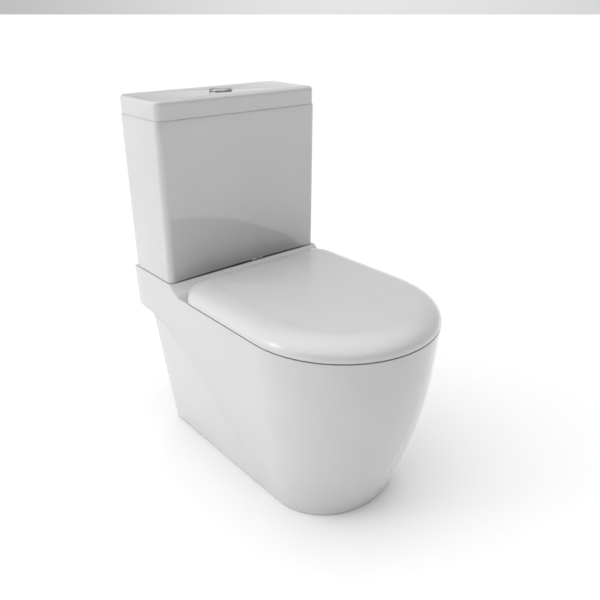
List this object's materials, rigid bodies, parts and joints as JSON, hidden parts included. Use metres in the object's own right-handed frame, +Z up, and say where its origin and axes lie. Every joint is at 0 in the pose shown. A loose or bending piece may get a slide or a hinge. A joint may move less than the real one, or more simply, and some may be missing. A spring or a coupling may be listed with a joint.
{
  "type": "close coupled toilet",
  "caption": "Floor-standing close coupled toilet: D-shaped pan with flat tapering sides, boxy cistern with lift-off lid and push button, wrap-over seat lid.",
  "frame": {"origin": "centre of the bounding box at floor level", "axes": "+Z up, +Y towards the wall behind the cistern, -Y towards the front of the pan, +X to the right seen from the front"},
  "size_m": [0.39, 0.632, 0.7664],
  "materials": {
    "glaze": "gloss",
    "seat_plastic": "gloss",
    "soft_white": "satin",
    "chrome": "polished",
    "steel": "satin",
    "brass": "satin",
    "black_rubber": "matte",
    "blue_plastic": "satin",
    "valve_plastic": "satin"
  },
  "bodies": {
    "pan_and_cistern": {"pan": "glaze", "trapway": "glaze", "cistern_tank": "glaze", "hinge_posts": "chrome", "hinge_pins": "steel", "hinge_bolts": "steel", "hinge_washers": "black_rubber", "hinge_nuts": "valve_plastic", "doughnut_washer": "black_rubber", "coupling_bolts": "brass", "coupling_rubber_washers": "black_rubber", "coupling_steel_washers": "steel", "coupling_wing_nuts": "brass", "flush_valve_base": "valve_plastic", "flush_valve_back_nut": "valve_plastic", "flush_valve_seat_washer": "black_rubber", "flush_valve_tower": "blue_plastic", "flush_lever_pins": "steel", "fill_valve_body": "valve_plastic", "fill_valve_back_nut": "valve_plastic", "fill_valve_washer": "black_rubber", "fill_valve_cap": "blue_plastic", "fill_lever_pin": "steel"},
    "seat": {"seat_ring": "seat_plastic", "seat_bumpers": "soft_white", "seat_dampers": "steel"},
    "seat_cover": {"seat_lid": "seat_plastic", "lid_bumpers": "soft_white"},
    "service_lid": {"cistern_lid": "glaze", "button_bezel": "chrome", "button_locknut": "valve_plastic"},
    "full_button": {"full_flush_button": "chrome", "full_flush_rod": "valve_plastic"},
    "half_button": {"half_flush_button": "chrome", "half_flush_rod": "valve_plastic"},
    "full_lever": {"full_flush_lever": "valve_plastic"},
    "half_lever": {"half_flush_lever": "valve_plastic"},
    "overflow": {"overflow_tube": "valve_plastic", "flush_seal": "black_rubber"},
    "float": {"float_cup": "blue_plastic", "float_link": "valve_plastic"},
    "fill_lever": {"fill_valve_lever": "valve_plastic"}
  },
  "joints": [
    {"name": "seat_hinge", "type": "hinge", "parent": "pan_and_cistern", "child": "seat", "pos_m": [0, 0.108, 0.408], "axis": [-1, 0, 0], "range_deg": [0, 93]},
    {"name": "lid_hinge", "type": "hinge", "parent": "seat", "child": "seat_cover", "pos_m": [0, 0.108, 0.408], "axis": [1, 0, 0], "range_deg": [-94, 0]},
    {"name": "cistern_lid_lift", "type": "slide", "parent": "pan_and_cistern", "child": "service_lid", "axis": [0, 0, 1], "range_m": [0, 0.13]},
    {"name": "full_flush_press", "type": "slide", "parent": "service_lid", "child": "full_button", "axis": [0, 0, -1], "range_m": [0, 0.005], "stiffness_N_per_m": 250, "springref_m": -0.004},
    {"name": "half_flush_press", "type": "slide", "parent": "service_lid", "child": "half_button", "axis": [0, 0, -1], "range_m": [0, 0.005], "stiffness_N_per_m": 250, "springref_m": -0.004},
    {"name": "full_lever_pivot", "type": "hinge", "parent": "pan_and_cistern", "child": "full_lever", "pos_m": [0.026, 0.24, 0.645], "axis": [0, -1, 0], "range_deg": [-1, 20]},
    {"name": "half_lever_pivot", "type": "hinge", "parent": "pan_and_cistern", "child": "half_lever", "pos_m": [-0.026, 0.24, 0.645], "axis": [0, 1, 0], "range_deg": [-1, 20]},
    {"name": "seal_lift", "type": "slide", "parent": "pan_and_cistern", "child": "overflow", "axis": [0, 0, 1], "range_m": [0, 0.008]},
    {"name": "float_rise", "type": "slide", "parent": "pan_and_cistern", "child": "float", "axis": [0, 0, 1], "range_m": [0, 0.012]},
    {"name": "fill_lever_pivot", "type": "hinge", "parent": "pan_and_cistern", "child": "fill_lever", "pos_m": [-0.122, 0.262, 0.669], "axis": [0, -1, 0], "range_deg": [-1, 31]}
  ],
  "couplings": [
    {"joint": "full_lever_pivot", "follows": "full_flush_press", "rad_per_m": 58},
    {"joint": "half_lever_pivot", "follows": "half_flush_press", "rad_per_m": 58},
    {"joint": "seal_lift", "follows": "full_flush_press", "ratio": 1.3},
    {"joint": "fill_lever_pivot", "follows": "float_rise", "rad_per_m": 40.8}
  ]
}
